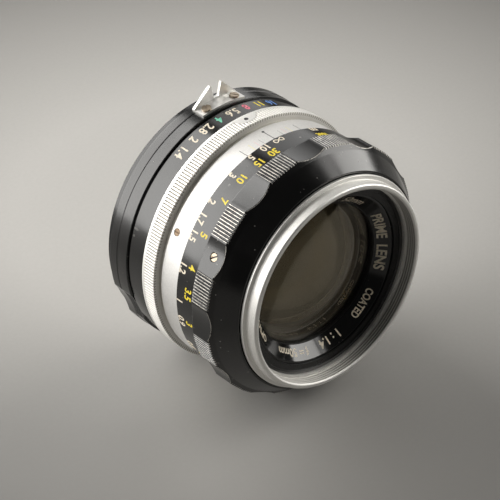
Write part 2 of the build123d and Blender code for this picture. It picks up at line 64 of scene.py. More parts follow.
def linked(name, data):
    """A new object in the scene."""
    obj = bpy.data.objects.new(name, data)
    bpy.context.scene.collection.objects.link(obj)
    return obj


def mesh_object(name, points, faces, mat, smooth_deg, wear_and_shade):
    """A smooth object from an array of faces that all have as many sides."""
    mesh = bpy.data.meshes.new(name)
    faces = np.asarray(faces, np.int32)
    sides = faces.shape[1]
    mesh.vertices.add(len(points))
    mesh.vertices.foreach_set("co", np.asarray(points, np.float32).ravel())
    mesh.loops.add(faces.size)
    mesh.loops.foreach_set("vertex_index", faces.ravel())
    mesh.polygons.add(len(faces))
    mesh.polygons.foreach_set("loop_start", np.arange(0, faces.size, sides, dtype=np.int32))
    mesh.update(calc_edges=True)
    mesh.validate()
    if wear_and_shade is not None:
        layer = mesh.attributes.new("wear_and_shade", "FLOAT", "POINT")
        layer.data.foreach_set("value", np.asarray(wear_and_shade, np.float32).ravel())
    mesh.materials.append(mat)
    mesh.shade_smooth()
    mesh.set_sharp_from_angle(angle=math.radians(smooth_deg))
    return linked(name, mesh)


def weigh_normals(obj):
    """Shading that follows the large faces and keeps the sharp edges."""
    mod = obj.modifiers.new("normals", "WEIGHTED_NORMAL")
    mod.keep_sharp = True
    mod.weight = 80
    return obj


def solid_mesh(name, points, faces, mat):
    """A mesh from faces of any size, all turned outwards."""
    mesh = bpy.data.meshes.new(name)
    mesh.from_pydata(points, [], faces)
    mesh.materials.append(mat)
    bm = bmesh.new()
    bm.from_mesh(mesh)
    bmesh.ops.recalc_face_normals(bm, faces=bm.faces)
    bm.to_mesh(mesh)
    bm.free()
    return mesh


def stand_for(obj, body, slot, *nodes):
    """obj rides on body and stands for these CAD nodes, which it hides; slot is not used."""
    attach(obj, body)
    if nodes:
        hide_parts(*nodes)


def eased(corners, radius, steps=3):
    """A closed outline of (r, z) corners with every corner rounded."""
    pts = [np.array(p, float) for p in corners]
    out = []
    for i, p in enumerate(pts):
        a, b = pts[i - 1] - p, pts[(i + 1) % len(pts)] - p
        la, lb = np.linalg.norm(a), np.linalg.norm(b)
        t = min(radius, 0.4 * la, 0.4 * lb)
        start, end = p + a / la * t, p + b / lb * t
        for k in range(steps + 1):
            s = k / steps
            out.append((1 - s) ** 2 * start + 2 * s * (1 - s) * p + s * s * end)
    return np.array(out)


def dense(outline, low, high, step):
    """More points on the parts of a closed outline between two heights."""
    out = []
    for p, q in zip(outline, np.roll(outline, -1, 0)):
        out.append(p)
        inside = low <= min(p[1], q[1]) and max(p[1], q[1]) <= high
        n = int(np.linalg.norm(q - p) / step) if inside else 0
        for k in range(1, n):
            out.append(p + (q - p) * k / n)
    return np.array(out)


def ring(name, outline, mat, angles=None, wear_and_shade=None, smooth_deg=35):
    """Closed ring from an outline of (r, z) points, one for all angles or one for each."""
    if angles is None:
        angles = np.arange(0, 360, RING_STEP)
    outline = np.asarray(outline, float)
    flat = outline if outline.ndim == 2 else outline[0]
    r, z = flat[:, 0], flat[:, 1]
    if np.sum(r * np.roll(z, -1) - np.roll(r, -1) * z) < 0:
        outline = outline[..., ::-1, :]
        wear_and_shade = wear_and_shade[:, ::-1] if wear_and_shade is not None else None
    prof = np.broadcast_to(outline, (len(angles),) + outline.shape[-2:])
    n = prof.shape[1]
    points = spot(np.asarray(angles)[:, None], prof[..., 0], prof[..., 1]).reshape(-1, 3)
    i, j = np.meshgrid(np.arange(len(angles)), np.arange(n), indexing="ij")
    i2, j2 = (i + 1) % len(angles), (j + 1) % n
    faces = np.stack([i * n + j, i2 * n + j, i2 * n + j2, i * n + j2], -1).reshape(-1, 4)
    return weigh_normals(mesh_object(name, points, faces, mat, smooth_deg, wear_and_shade))


def scooped(turn, centre, radius):
    """Radius of the bottom of a round scoop, at an angle in radians from the scoop's middle."""
    side = centre * np.sin(turn)
    return centre * np.cos(turn) - np.sqrt(np.maximum(radius ** 2 - side ** 2, 0))


def recess(angles, z, r, at_angle, at_z, radius, depth):
    """How far a round screw hole lowers the points (angles, z) of a surface of radius r."""
    wall = 0.14
    across = np.radians((angles - at_angle + 180) % 360 - 180) * r
    near = (radius + wall / 2 - np.hypot(across, z - at_z)) / wall
    return depth * np.clip(near, 0, 1)


def wrapped_patch(angle0, angle1, z0, z1, r):
    """Points and faces of a thin curved plate on a cylinder, for an engraved and filled line."""
    lift, sink = 0.015, 0.05
    n = max(2, int(abs(angle1 - angle0) * 2) + 2)
    angles = np.linspace(angle0, angle1, n)
    rows = []
    for radius, z in ((r - sink, z0), (r + lift, z0), (r + lift, z1), (r - sink, z1)):
        rows.append(spot(angles, radius, z))
    points = np.stack(rows, 1).reshape(-1, 3)
    faces = []
    for i in range(n - 1):
        for j in range(4):
            k = (j + 1) % 4
            faces.append((i * 4 + j, (i + 1) * 4 + j, (i + 1) * 4 + k, i * 4 + k))
    faces.append((3, 2, 1, 0))
    last = (n - 1) * 4
    faces.append((last, last + 1, last + 2, last + 3))
    return points, faces


def joined(name, parts, mat):
    """One object from several (points, faces) pieces."""
    points, faces, base = [], [], 0
    for p, f in parts:
        points.extend(np.asarray(p).tolist())
        faces.extend([tuple(base + k for k in face) for face in f])
        base += len(p)
    return linked(name, solid_mesh(name, points, faces, mat))


def lettering(text, height, width, bold):
    """Flat solid letters, centred, in mm: points (u, v, depth from 0 to 1) and faces."""
    curve = bpy.data.curves.new("letters", "FONT")
    curve.body = text
    curve.size = height / CAP_SHARE
    curve.align_x, curve.align_y = "CENTER", "BOTTOM_BASELINE"
    curve.resolution_u = 4
    curve.extrude = 0.5
    curve.offset = bold
    obj = linked("letters", curve)
    bpy.context.view_layer.update()
    mesh = bpy.data.meshes.new_from_object(obj)
    bm = bmesh.new()
    bm.from_mesh(mesh)
    bmesh.ops.remove_doubles(bm, verts=bm.verts, dist=1e-5)
    long_edges = [e for e in bm.edges
                  if e.calc_length() > LONG_EDGE and abs(e.verts[0].co.z - e.verts[1].co.z) < 0.1]
    bmesh.ops.subdivide_edges(bm, edges=long_edges, cuts=1, use_grid_fill=False)
    bmesh.ops.triangulate(bm, faces=bm.faces)
    bm.verts.index_update()
    points = np.array([v.co for v in bm.verts])
    faces = [tuple(v.index for v in f.verts) for f in bm.faces]
    bm.free()
    bpy.data.objects.remove(obj)
    bpy.data.curves.remove(curve)
    bpy.data.meshes.remove(mesh)
    points[:, 0] *= width
    points[:, 1] -= height / 2
    points[:, 2] += 0.5
    return points, faces


def on_barrel(text, angle, z, r, height, width):
    """Lettering wrapped on a cylinder with its top towards the front."""
    points, faces = lettering(text, height, width, BOLD)
    lift, sink = 0.02, 0.04
    radius = r - sink + (lift + sink) * points[:, 2]
    return spot(angle + np.degrees(points[:, 0] / r), radius, z + points[:, 1]), faces


# ---- materials -------------------------------------------------------------------------
class Graph:
    """Short hand for building a node material."""

    def __init__(self, name):
        self.mat = bpy.data.materials.new(name)
        self.mat.use_nodes = True
        self.tree = self.mat.node_tree
        self.tree.nodes.clear()
        self.out = self.tree.nodes.new("ShaderNodeOutputMaterial")

    def add(self, kind, **values):
        """A shader node with these properties and sockets set, "_" standing for a space."""
        node = self.tree.nodes.new("ShaderNode" + kind)
        for key, value in values.items():
            if hasattr(node, key):
                setattr(node, key, value)
                continue
            self.feed(node.inputs[key.replace("_", " ")], value)
        return node

    def feed(self, socket, value):
        if isinstance(value, bpy.types.NodeSocket):
            self.tree.links.new(value, socket)
        else:
            socket.default_value = value

    def math(self, op, a, b=0.0, c=0.0, clamp=False):
        node = self.tree.nodes.new("ShaderNodeMath")
        node.operation = op
        node.use_clamp = clamp
        for socket, value in zip(node.inputs, (a, b, c)):
            self.feed(socket, value)
        return node.outputs[0]

    def ramp(self, value, *stops):
        node = self.tree.nodes.new("ShaderNodeValToRGB")
        self.feed(node.inputs[0], value)
        while len(node.color_ramp.elements) < len(stops):
            node.color_ramp.elements.new(0.5)
        for element, (pos, grey) in zip(node.color_ramp.elements, stops):
            element.position = pos
            element.color = (grey, grey, grey, 1)
        return node.outputs[0]

    def mix(self, fac, a, b):
        node = self.tree.nodes.new("ShaderNodeMix")
        node.data_type = "RGBA"
        sockets = [s for s in node.inputs if s.enabled]
        self.feed(sockets[0], fac)
        for socket, value in zip(sockets[1:], (a, b)):
            self.feed(socket, (*value, 1) if isinstance(value, tuple) else value)
        return [s for s in node.outputs if s.enabled][0]

    def place(self):
        return self.add("TexCoord").outputs["Object"]

    def scaled(self, vector, factor):
        node = self.tree.nodes.new("ShaderNodeVectorMath")
        node.operation = "MULTIPLY"
        self.feed(node.inputs[0], vector)
        self.feed(node.inputs[1], factor)
        return node.outputs[0]

    def length(self, a, b):
        squares = self.math("ADD", self.math("MULTIPLY", a, a), self.math("MULTIPLY", b, b))
        return self.math("SQRT", squares)

    def turned_place(self):
        """(r, distance along the axis, a little of the angle), so that noise runs in rings."""
        xyz = self.add("SeparateXYZ", Vector=self.place()).outputs
        r = self.length(xyz[0], xyz[2])
        turn = self.math("MULTIPLY", self.math("ARCTAN2", xyz[0], xyz[2]), 0.02)
        return self.add("CombineXYZ", X=r, Y=xyz[1], Z=turn).outputs[0]

    def noise(self, vector, scale, detail, rough=0.55):
        node = self.add("TexNoise", Vector=vector, Scale=scale, Detail=detail, Roughness=rough)
        return node.outputs["Fac"]

    def specks(self, scale, size, keep):
        """Sparse round specks: keep is the share of cells that have one."""
        cells = self.add("TexVoronoi", Vector=self.place(), Scale=scale, Randomness=1.0)
        near = self.ramp(cells.outputs["Distance"], (size * 0.6, 1.0), (size, 0.0))
        pick = self.add("SeparateColor", Color=cells.outputs["Color"]).outputs[0]
        return self.math("MULTIPLY", near, self.math("LESS_THAN", pick, keep))

    def bump(self, height, distance, strength):
        return self.add("Bump", Strength=strength, Distance=distance, Height=height).outputs[0]

    def surface(self, **values):
        """A principled shader with these sockets set, as the finished material."""
        shader = self.tree.nodes.new("ShaderNodeBsdfPrincipled")
        for key, value in values.items():
            if isinstance(value, tuple) and len(value) == 3:
                value = (*value, 1)
            self.feed(shader.inputs[key.replace("_", " ")], value)
        self.tree.links.new(shader.outputs[0], self.out.inputs[0])


def black_enamel(name, base=0.004, rough=(0.13, 0.26), dust_and_glow=0.5, worn=False, lines=0.5):
    """Gloss black with smudges, dusty specks and lint; the "wear" attribute marks edges worn to metal.
    """
    g = Graph(name)
    place, turned = g.place(), g.turned_place()
    smudge = g.noise(place, 90.0, 4.0)
    streak = g.noise(turned, 5200.0, 2.0)
    fine = g.noise(place, 2600.0, 2.0)
    speck = g.math("ADD", g.specks(420.0, 0.17, 0.14), g.specks(900.0, 0.2, 0.10), clamp=True)
    thread = g.add("TexVoronoi", Vector=g.scaled(place, (1.0, 0.25, 0.6)), Scale=330.0, Randomness=1.0)
    pick = g.add("SeparateColor", Color=thread.outputs["Color"]).outputs[1]
    near = g.ramp(thread.outputs["Distance"], (0.05, 0.8), (0.09, 0.0))
    lint = g.math("MULTIPLY", near, g.math("LESS_THAN", pick, 0.16))
    speck = g.math("ADD", speck, lint, clamp=True)
    speck = g.math("MULTIPLY", g.math("MULTIPLY", speck, dust_and_glow), g.ramp(smudge, (0.35, 0.25), (0.6, 1.0)))
    tone = g.mix(g.ramp(smudge, (0.3, 0.0), (0.75, 1.0)),
                 (base * 0.8,) * 3, (base * 1.35, base * 1.3, base * 1.25))
    colour = g.mix(speck, tone, (0.30, 0.29, 0.27))
    low, high = rough
    roughness = g.math("MULTIPLY_ADD", g.ramp(smudge, (0.3, 0.0), (0.8, 1.0)), high - low, low)
    roughness = g.math("MULTIPLY_ADD", streak, 0.05, roughness)
    metal = 0.0
    if worn:
        mark = g.add("Attribute", attribute_name="wear_and_shade").outputs["Fac"]
        patchy = g.noise(place, 700.0, 4.0)
        bare = g.math("ADD", mark, g.math("MULTIPLY_ADD", patchy, 0.9, -0.45))
        bare = g.math("MULTIPLY", bare, g.math("GREATER_THAN", mark, 0.02))
        bare = g.ramp(bare, (0.40, 0.0), (0.55, 0.9))
        colour = g.mix(bare, colour, (0.74, 0.71, 0.65))
        metal = bare
        roughness = g.math("MULTIPLY_ADD", bare, 0.34, roughness)
    height = g.math("ADD", g.math("MULTIPLY", streak, lines), g.math("MULTIPLY", fine, 0.5))
    height = g.math("ADD", height, g.math("MULTIPLY", speck, 3.0))
    g.surface(Base_Color=colour, Roughness=roughness, Metallic=metal, IOR=1.6,
              Normal=g.bump(height, 0.000004, 0.35))
    return g.mat


def turned_metal(name, tone, rough, lines=0.5, ring_scale=4200.0, grime=0.25,
                 grime_and_shade_tone=(0.30, 0.27, 0.22), shaded_gaps=False, painted_from=None):
    """Lathe-turned metal with fine rings and random grime. The "wear" attribute may mark gaps and holes,
    where shade is painted in the grime tone, and painted_from is a radius outside which the part in
    front of the flange face is black."""
    g = Graph(name)
    place, turned = g.place(), g.turned_place()
    streak = g.noise(turned, ring_scale, 3.0)
    broad = g.noise(turned, 900.0, 2.0)
    blot = g.noise(place, 110.0, 5.0, 0.6)
    fine = g.noise(place, 3800.0, 2.0)
    dark = tuple(c * 0.88 for c in tone)
    colour = g.mix(g.ramp(streak, (0.25, 0.0), (0.7, 1.0)), dark, tone)
    dirt_and_shade = g.math("MULTIPLY", g.ramp(blot, (0.56, 0.0), (0.74, 1.0)), grime)
    # painted shade: the gaps and holes marked on the mesh are darkened in the grime tone
    if shaded_gaps:
        gap = g.add("Attribute", attribute_name="wear_and_shade").outputs["Fac"]
        dirt_and_shade = g.math("MAXIMUM", dirt_and_shade, gap)
    colour = g.mix(dirt_and_shade, colour, grime_and_shade_tone)
    roughness = g.math("MULTIPLY_ADD", g.noise(place, 160.0, 4.0), 0.12, rough - 0.06)
    roughness = g.math("MULTIPLY_ADD", dirt_and_shade, 0.2, roughness)
    height = g.math("ADD", g.math("MULTIPLY", streak, lines), g.math("MULTIPLY", broad, lines))
    height = g.math("ADD", height, g.math("MULTIPLY", fine, 0.3))
    metal = 1.0
    if painted_from:
        r_and_y = g.add("SeparateXYZ", Vector=turned).outputs
        paint = g.math("MULTIPLY", g.math("GREATER_THAN", r_and_y[0], painted_from * MM),
                       g.math("LESS_THAN", r_and_y[1], -0.1 * MM))
        metal = g.math("SUBTRACT", 1.0, paint)
        colour = g.mix(paint, colour, (0.006, 0.006, 0.006))
        roughness = g.math("ADD", g.math("MULTIPLY", metal, roughness), g.math("MULTIPLY", paint, 0.2))
    g.surface(Base_Color=colour, Roughness=roughness, Metallic=metal,
              Normal=g.bump(height, 0.000005, 0.3))
    return g.mat


def plain_metal(name, tone, rough, scratch=0.4, spots=(0.25, 0.2, 0.15), spotted=0.3, scale=1.0):
    """Chrome or steel with hair scratches, small marks and a dull film."""
    g = Graph(name)
    place = g.place()
    film = g.noise(place, 260.0 * scale, 5.0, 0.6)
    hair = g.noise(g.scaled(place, (1.0, 14.0, 1.0)), 1500.0 * scale, 3.0)
    mark = g.ramp(g.noise(place, 900.0 * scale, 4.0), (0.60, 0.0), (0.72, 1.0))
    mark = g.math("MULTIPLY", mark, spotted)
    colour = g.mix(g.ramp(film, (0.35, 0.0), (0.7, 1.0)), tuple(c * 0.78 for c in tone), tone)
    colour = g.mix(mark, colour, spots)
    roughness = g.math("MULTIPLY_ADD", film, 0.22, rough - 0.08)
    roughness = g.math("MULTIPLY_ADD", mark, 0.3, roughness)
    g.surface(Base_Color=colour, Roughness=roughness, Metallic=1.0,
              Normal=g.bump(g.math("ADD", hair, film), 0.000008, scratch))
    return g.mat


def matte_black(name, base=0.012, rough=0.55):
    """Dull black paint on turned parts, a little dusty."""
    g = Graph(name)
    rings = g.noise(g.turned_place(), 2400.0, 3.0)
    grain = g.noise(g.place(), 5200.0, 2.0)
    dusty = g.ramp(g.noise(g.place(), 240.0, 5.0), (0.5, 0.0), (0.8, 1.0))
    colour = g.mix(g.math("MULTIPLY", dusty, 0.5), (base,) * 3, (base * 2.6, base * 2.5, base * 2.3))
    roughness = g.math("MULTIPLY_ADD", grain, 0.2, rough - 0.1)
    g.surface(Base_Color=colour, Roughness=roughness,
              Normal=g.bump(g.math("ADD", rings, grain), 0.000008, 0.4))
    return g.mat


def cell_black():
    """Front cell: its rear part is a dull olive grey behind the glass, its front part black."""
    g = Graph("front_cell_black")
    y = g.add("SeparateXYZ", Vector=g.place()).outputs[1]
    glass_seat = 32.5 * MM
    deep = g.math("GREATER_THAN", y, -glass_seat)
    rings = g.noise(g.turned_place(), 1500.0, 3.0)
    pale = g.mix(rings, (0.34, 0.31, 0.255), (0.42, 0.385, 0.32))
    g.surface(Base_Color=g.mix(deep, (0.014, 0.013, 0.012), pale), Roughness=0.42,
              Normal=g.bump(rings, 0.00001, 0.4))
    return g.mat


def fill_paint(name, tone, worn=0.3):
    """Paint rubbed into an engraving, a little uneven."""
    g = Graph(name)
    place = g.place()
    thin = g.noise(place, 1600.0, 4.0)
    dark = tuple(c * (1 - worn) for c in tone)
    colour = g.mix(g.ramp(thin, (0.33, 0.0), (0.52, 1.0)), dark, tone)
    roughness = g.math("MULTIPLY_ADD", thin, 0.2, 0.35)
    g.surface(Base_Color=colour, Roughness=roughness, Normal=g.bump(thin, 0.00001, 0.4))
    return g.mat


def coated_glass(name, tint, coat, painted_glow=0.0, painted_glow_tone=None):
    """Clear glass with a coloured coating; shadow rays pass, so that the inside is lit."""
    g = Graph(name)
    film = g.noise(g.place(), 55.0, 4.0)
    smear = g.math("MULTIPLY", g.ramp(film, (0.45, 0.0), (0.8, 1.0)), 0.03)
    glass = g.add("BsdfPrincipled", Base_Color=(*tint, 1), Roughness=smear, IOR=1.6,
                  Transmission_Weight=1.0, Specular_Tint=(*coat, 1))
    clear = g.add("BsdfTransparent", Color=(*[c * 0.9 for c in tint], 1))
    path = g.add("LightPath").outputs["Is Shadow Ray"]
    shader = glass.outputs[0]
    # painted light: a diffuse olive layer mixed into the glass stands in for the light seen through the
    # lens
    if painted_glow:
        dust_and_glow = g.add("BsdfDiffuse", Color=g.mix(film, tuple(c * 0.8 for c in painted_glow_tone), painted_glow_tone))
        mixed = g.add("MixShader", Fac=painted_glow)
        g.tree.links.new(shader, mixed.inputs[1])
        g.tree.links.new(dust_and_glow.outputs[0], mixed.inputs[2])
        shader = mixed.outputs[0]
    pick = g.add("MixShader", Fac=path)
    g.tree.links.new(shader, pick.inputs[1])
    g.tree.links.new(clear.outputs[0], pick.inputs[2])
    g.tree.links.new(pick.outputs[0], g.out.inputs[0])
    return g.mat


ENAMEL = black_enamel("black_enamel")
ENAMEL_WORN = black_enamel("black_enamel_worn", dust_and_glow=0.55, worn=True)
GLOSS_BLACK = black_enamel("gloss_black", base=0.003, rough=(0.07, 0.14), dust_and_glow=0.25, lines=0.3)
SATIN = turned_metal("satin_aluminium", (0.83, 0.82, 0.80), 0.60, lines=0.3, grime=0.10,
                     grime_and_shade_tone=(0.10, 0.08, 0.06), shaded_gaps=True)
KNURL = turned_metal("knurl_aluminium", (0.90, 0.89, 0.86), 0.55, lines=0.1, grime=0.15,
                     shaded_gaps=True)
BRIGHT = turned_metal("bright_aluminium", (0.88, 0.87, 0.84), 0.56, lines=0.12, grime=0.08,
                      grime_and_shade_tone=(0.12, 0.11, 0.09), shaded_gaps=True)
GREYED = turned_metal("greyed_aluminium", (0.56, 0.54, 0.49), 0.62, grime=0.30)
BARE = turned_metal("bare_aluminium", (0.70, 0.69, 0.66), 0.32, lines=1.0, ring_scale=2600.0)
BRASS = turned_metal("turned_brass", (0.72, 0.53, 0.25), 0.30, lines=1.0, ring_scale=2600.0,
                     grime_and_shade_tone=(0.28, 0.17, 0.07))
CHROME = plain_metal("worn_chrome", (0.90, 0.89, 0.86), 0.42, scratch=0.25, spotted=0.12)
FLANGE_CHROME = turned_metal("flange_chrome", (0.78, 0.77, 0.75), 0.22, lines=1.0, ring_scale=3000.0,
                             painted_from=30.9)
STEEL = plain_metal("screw_steel", (0.46, 0.38, 0.29), 0.34,
                    spots=(0.16, 0.10, 0.06), spotted=0.8, scale=1.6)
BROWNED = plain_metal("browned_steel", (0.22, 0.16, 0.11), 0.40,
                      spots=(0.08, 0.05, 0.03), spotted=0.8, scale=1.6)
BLADE = plain_metal("blade_steel", (0.10, 0.10, 0.105), 0.36, spots=(0.05, 0.05, 0.05))
INSIDE = matte_black("matte_black")
SATIN_BLACK = matte_black("satin_black", base=0.010, rough=0.30)
CREAM = fill_paint("cream_fill", (0.95, 0.85, 0.68))
YELLOW = fill_paint("yellow_fill", (0.92, 0.72, 0.04))
GREEN = fill_paint("green_fill", (0.22, 0.72, 0.50))
RED = fill_paint("red_fill", (0.92, 0.20, 0.28))
BLUE = fill_paint("blue_fill", (0.16, 0.34, 0.80))
DARK = fill_paint("dark_fill", (0.015, 0.015, 0.016))
PALE_YELLOW = fill_paint("pale_yellow_fill", (0.85, 0.78, 0.42), 0.2)
PALE_RED = fill_paint("pale_red_fill", (0.80, 0.58, 0.58), 0.2)
PALE_GREEN = fill_paint("pale_green_fill", (0.66, 0.72, 0.66), 0.2)
GREY = fill_paint("grey_fill", (0.25, 0.25, 0.25), 0.2)
GLASS_FRONT = coated_glass("glass_front", (0.93, 0.90, 0.82), (1.0, 0.86, 0.62))
# the front doublet's diffuse olive layer is painted light, the glow of the light seen through the lens
GLASS_INNER = coated_glass("glass_inner", (0.90, 0.86, 0.74), (1.0, 0.80, 0.52), painted_glow=0.14,
                           painted_glow_tone=(0.42, 0.385, 0.31))
GLASS_REAR = coated_glass("glass_rear", (0.93, 0.90, 0.82), (1.0, 0.85, 0.6))

# CAD nodes that keep their own shape
KEPT = {
    "mount_flange": FLANGE_CHROME, "mount_screws": STEEL, "rear_baffle": INSIDE,
    "fixed_barrel": GREYED, "depth_ring_screws": BROWNED, "focus_stop_pin": STEEL,
    "helicoid_keys": BRASS, "key_screws": STEEL, "click_ball": STEEL, "click_spring": STEEL,
    "return_spring": STEEL, "preset_ring": SATIN_BLACK, "fork_screws": STEEL,
    "centre_helicoid": BRASS, "focus_set_screws": STEEL, "inner_helicoid": BARE,
    "front_cell": cell_black(), "front_doublet_ring": INSIDE, "iris_housing": SATIN_BLACK,
    "iris_cover": SATIN_BLACK, "iris_actuator": STEEL, "rear_cell": INSIDE,
    "rear_doublet_ring": INSIDE, "rear_spacer_front": INSIDE, "rear_spacer_back": INSIDE,
    "rear_retaining_ring": INSIDE, "stop_down_lever": CHROME,
    "element_6": GLASS_REAR, "element_7": GLASS_REAR,
}
for k in range(1, 7):
    KEPT[f"iris_blade_{k}"] = BLADE
for node, mat in KEPT.items():
    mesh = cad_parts[node].data
    mesh.materials.clear()
    mesh.materials.append(mat)


# ---- focus ring ------------------------------------------------------------------------
BAND_R, HILL_R = 32.1, 33.5
FOOT_Z, TOP_Z, CREST_Z, BEVEL_Z = 33.0, 34.0, 39.28, 40.44
SCALLOP_R, SCALLOP_CENTRE = 16.0, 48.6
HILL_PITCH = 30                     # degrees, half of it a scallop and half of it a ridged hill
PLAIN_STEPS, SCREW_STEPS = 24, 96   # points across a scallop, and across one with a set screw
HILL_STEPS, RIDGE_STEPS = 88, 8     # points across a hill, and from one ridge to the next
GROOVE_SHAPE = (0.35, 0.33, 0.20, 0.03, 0.0)   # depth from a groove's middle to the crest beside it
CREST_WEAR = (0.0, 0.0, 0.0, 0.45, 0.75)
SET_SCREW_Z, SET_SCREW_R, SET_SCREW_DEPTH = 36.8, 1.05, 0.5


def focus_ring():
    """The grip: twelve scallops, and twelve hills with ridges along the lens."""
    corners = [
        (30.05, 27.0), (BAND_R, 27.0), (BAND_R, FOOT_Z), (HILL_R, TOP_Z), (HILL_R, CREST_Z),
        (BAND_R, BEVEL_Z), (28.84, 45.32), (28.35, 45.32), (28.35, 44.9), (27.35, 44.2),
        (27.35, 43.0), (29.4, 40.2), (29.4, 39.2), (30.05, 39.2),
    ]
    outline = dense(eased(corners, 0.07), FOOT_Z - 0.1, BEVEL_Z + 0.6, 0.13)
    angles, groove, crest = [], [], []
    width, beside = HILL_PITCH / 2, RIDGE_STEPS // 2
    for middle in range(0, 360, HILL_PITCH):
        start = middle - width / 2
        steps = SCREW_STEPS if middle in SCREW_ANGLES else PLAIN_STEPS
        angles.extend(start + width * k / steps for k in range(steps))
        groove.extend([0.0] * steps)
        crest.extend([0.0] * steps)
        for k in range(HILL_STEPS):
            angles.append(start + width + width * k / HILL_STEPS)
            ridged = beside <= k <= HILL_STEPS - beside
            off = abs((k + beside) % RIDGE_STEPS - beside) if ridged else beside
            groove.append(GROOVE_SHAPE[off])
            crest.append(CREST_WEAR[off] if ridged else 0.0)
    angles, groove, crest = np.array(angles), np.array(groove)[:, None], np.array(crest)[:, None]
    from_middle = np.radians((angles + width) % HILL_PITCH - width)[:, None]
    scallop = scooped(from_middle, SCALLOP_CENTRE, SCALLOP_R)
    r, z = outline[:, 0][None, :], outline[:, 1][None, :]
    outer = (r > 31.0) & (z > FOOT_Z - 0.05) & (z < BEVEL_Z + 0.5)
    # the cut meets the outline in a soft edge
    limit = np.minimum(scallop, HILL_R - groove)
    blend = 0.035
    low = np.minimum(r, limit)
    soft = low - blend * np.log1p(np.exp(-np.abs(r - limit) / blend))
    new_r = np.where(outer, np.where(np.abs(r - limit) < 0.4, soft, low), r)
    for screw in SCREW_ANGLES:
        new_r = new_r - outer * recess(angles[:, None], z, SCALLOP_CENTRE - SCALLOP_R, screw,
                                       SET_SCREW_Z, SET_SCREW_R, SET_SCREW_DEPTH)
    # the paint is worn where a scallop runs out into the front bevel and on the ridges' crests
    arch = np.exp(-((r - scallop) / 0.06) ** 2) * outer * (z > TOP_Z) * (scallop < HILL_R - 0.12)
    tips = crest * outer * (z > TOP_Z - 0.25) * (z < CREST_Z + 0.35)
    wear_and_shade = np.clip(np.maximum(arch * 1.15, tips), 0, 1)
    prof = np.stack([new_r, np.broadcast_to(z, new_r.shape)], -1)
    obj = ring("focus_grip", prof, ENAMEL_WORN, angles, wear_and_shade, smooth_deg=40)
    stand_for(obj, "focus_ring", "black_paint", "focus_ring")


focus_ring()


# ---- knurled silver ring ---------------------------------------------------------------
KNURL_R = 33.2
TEETH = 268
TOOTH_SHAPE = (0.0, 0.0, 0.0, 0.0, 0.08, 0.24, 0.24, 0.08)   # depth across a tooth and its gap
KNURL_Z = 16.1                                       # where the teeth begin
MOON_ANGLE, MOON_HALF, MOON_HEIGHT = 0.6, 5.6, 2.3   # plain half moon round the index dot


def knurled_ring():
    corners = [(30.4, 15.1), (32.9, 15.1), (KNURL_R, 16.0), (KNURL_R, 19.7), (30.4, 19.7)]
    outline = dense(eased(corners, 0.08), 15.9, 19.75, 0.17)
    steps = TEETH * len(TOOTH_SHAPE)
    angles = np.arange(steps) * 360 / steps
    depth = np.tile(TOOTH_SHAPE, TEETH)[:, None]
    turn = (angles + 180) % 360 - 180
    half_moon = MOON_HEIGHT * np.sqrt(np.maximum(0, 1 - ((turn - MOON_ANGLE) / MOON_HALF) ** 2))
    start = (KNURL_Z + half_moon)[:, None]
    r, z = outline[:, 0][None, :], outline[:, 1][None, :]
    cut = depth * np.clip((z - start) / 0.28, 0, 1) * (r > 32.5)
    # painted shade: the gaps between the teeth are darkened, the deeper the darker
    gap = np.clip(cut / max(TOOTH_SHAPE), 0, 1) * 0.8
    prof = np.stack([r - cut, np.broadcast_to(z, cut.shape)], -1)
    obj = ring("knurled_ring", prof, KNURL, angles, gap, smooth_deg=50)
    stand_for(obj, "root", "satin_silver", "knurled_grip_ring")


def round_dot(name, angle, z, r, radius):
    """A small dark dot on one of the silver rings."""
    n = 24
    around = np.arange(n) * 2 * math.pi / n
    u, v = radius * np.cos(around), radius * np.sin(around)
    top = spot(angle + np.degrees(u / r), r + 0.02, z + v)
    low = spot(angle + np.degrees(u / r), r - 0.1, z + v)
    faces = [tuple(range(n)), tuple(range(2 * n - 1, n - 1, -1))]
    faces += [(i, (i + 1) % n, n + (i + 1) % n, n + i) for i in range(n)]
    obj = joined(name, [(np.concatenate([top, low]), faces)], DARK)
    stand_for(obj, "root", "satin_silver")


knurled_ring()
round_dot("index_dot", 0.9, 17.2, KNURL_R, 0.55)


# ---- silver band with the depth-of-field lines -----------------------------------------
DEPTH_R = 31.8
DEPTH_SCREW_Z, DEPTH_SCREW_R, DEPTH_SCREW_DEPTH = 22.7, 0.9, 0.3
LINES_END_Z = 26.85


def depth_band():
    outline = dense(eased([(30.4, 20.9), (31.68, 20.9), (31.68, 21.02), (DEPTH_R, 21.1),
                           (DEPTH_R, 26.9), (30.4, 26.9)], 0.06), 21.1, 26.9, 0.1)
    near = [a + d for a in SCREW_ANGLES for d in np.arange(-2.4, 2.41, 0.15)]
    angles = np.array(sorted(set(round(a, 3) for a in [*np.arange(0, 360, RING_STEP), *near])))
    r, z = outline[:, 0][None, :], outline[:, 1][None, :]
    new_r = r * np.ones((len(angles), 1))
    # painted shade: the screw holes are darkened where they sink below the band
    painted_shade = np.zeros_like(new_r)
    for screw in SCREW_ANGLES:
        hole = recess(angles[:, None], z, DEPTH_R, screw,
                      DEPTH_SCREW_Z, DEPTH_SCREW_R, DEPTH_SCREW_DEPTH)
        hole = hole * (r > DEPTH_R - 0.1)
        new_r = new_r - hole
        painted_shade = np.maximum(painted_shade, np.clip(hole / 0.1, 0, 1))
    prof = np.stack([new_r, np.broadcast_to(z, new_r.shape)], -1)
    obj = ring("depth_band", prof, SATIN, angles, painted_shade)
    stand_for(obj, "root", "satin_silver", "depth_scale_ring")


depth_band()


